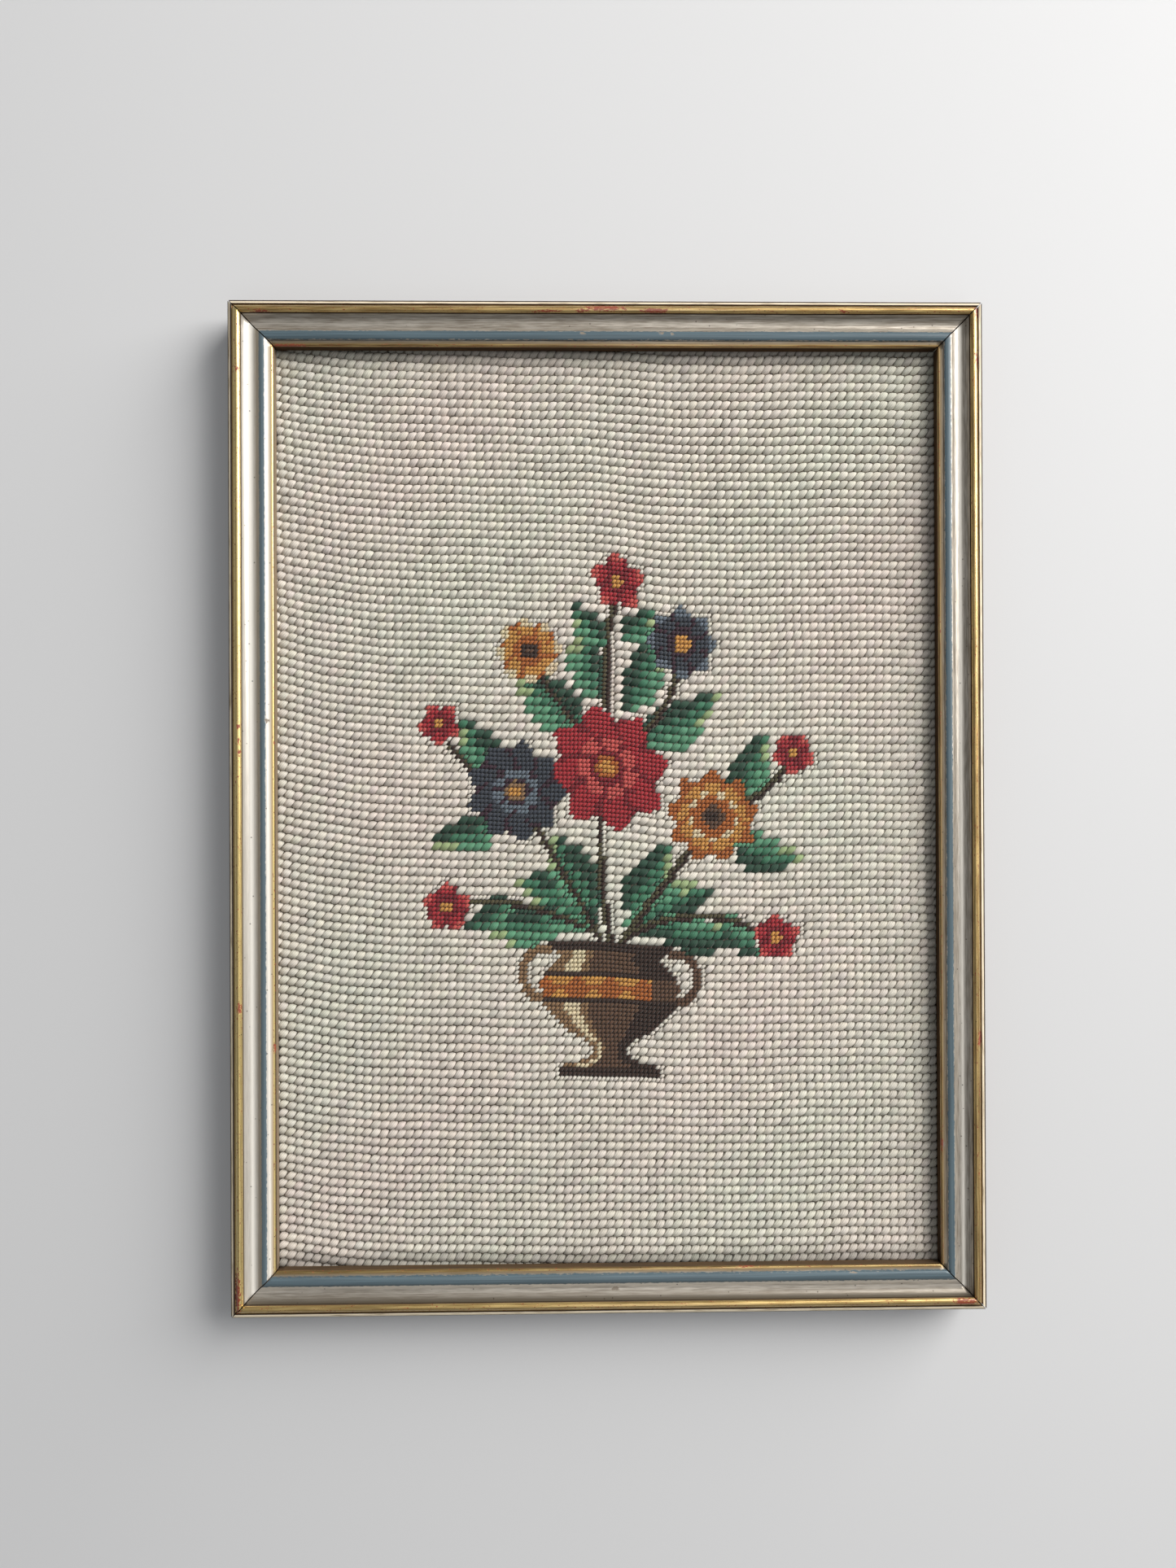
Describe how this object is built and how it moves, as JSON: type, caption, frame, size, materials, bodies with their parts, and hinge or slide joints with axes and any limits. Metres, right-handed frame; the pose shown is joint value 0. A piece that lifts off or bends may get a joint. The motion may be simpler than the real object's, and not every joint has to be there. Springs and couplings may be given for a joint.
{
  "type": "needlepoint embroidery in its moulding frame",
  "caption": "Upright stitched wool canvas, stretched under the lip of a narrow mitred moulding frame with a bead, a cove and a painted band, closed by a plain board.",
  "frame": {"origin": "under the middle of the back of the frame, on the surface that it lies on", "axes": "+Y towards the top of the picture, +X towards its right, +Z out of its face"},
  "size_m": [0.2214, 0.2966, 0.015],
  "materials": {
    "gilt_moulding": "gilded bead and lip, silvered cove and a painted slate-blue band, rubbed to the red bole in places",
    "wool": "slanting wool stitches on cotton canvas",
    "brown_board": "plain pressed board"
  },
  "bodies": {
    "root": {"frame_top": "gilt_moulding", "frame_bottom": "gilt_moulding", "frame_left": "gilt_moulding", "frame_right": "gilt_moulding", "needlework": "wool", "backing_board": "brown_board"}
  },
  "joints": []
}
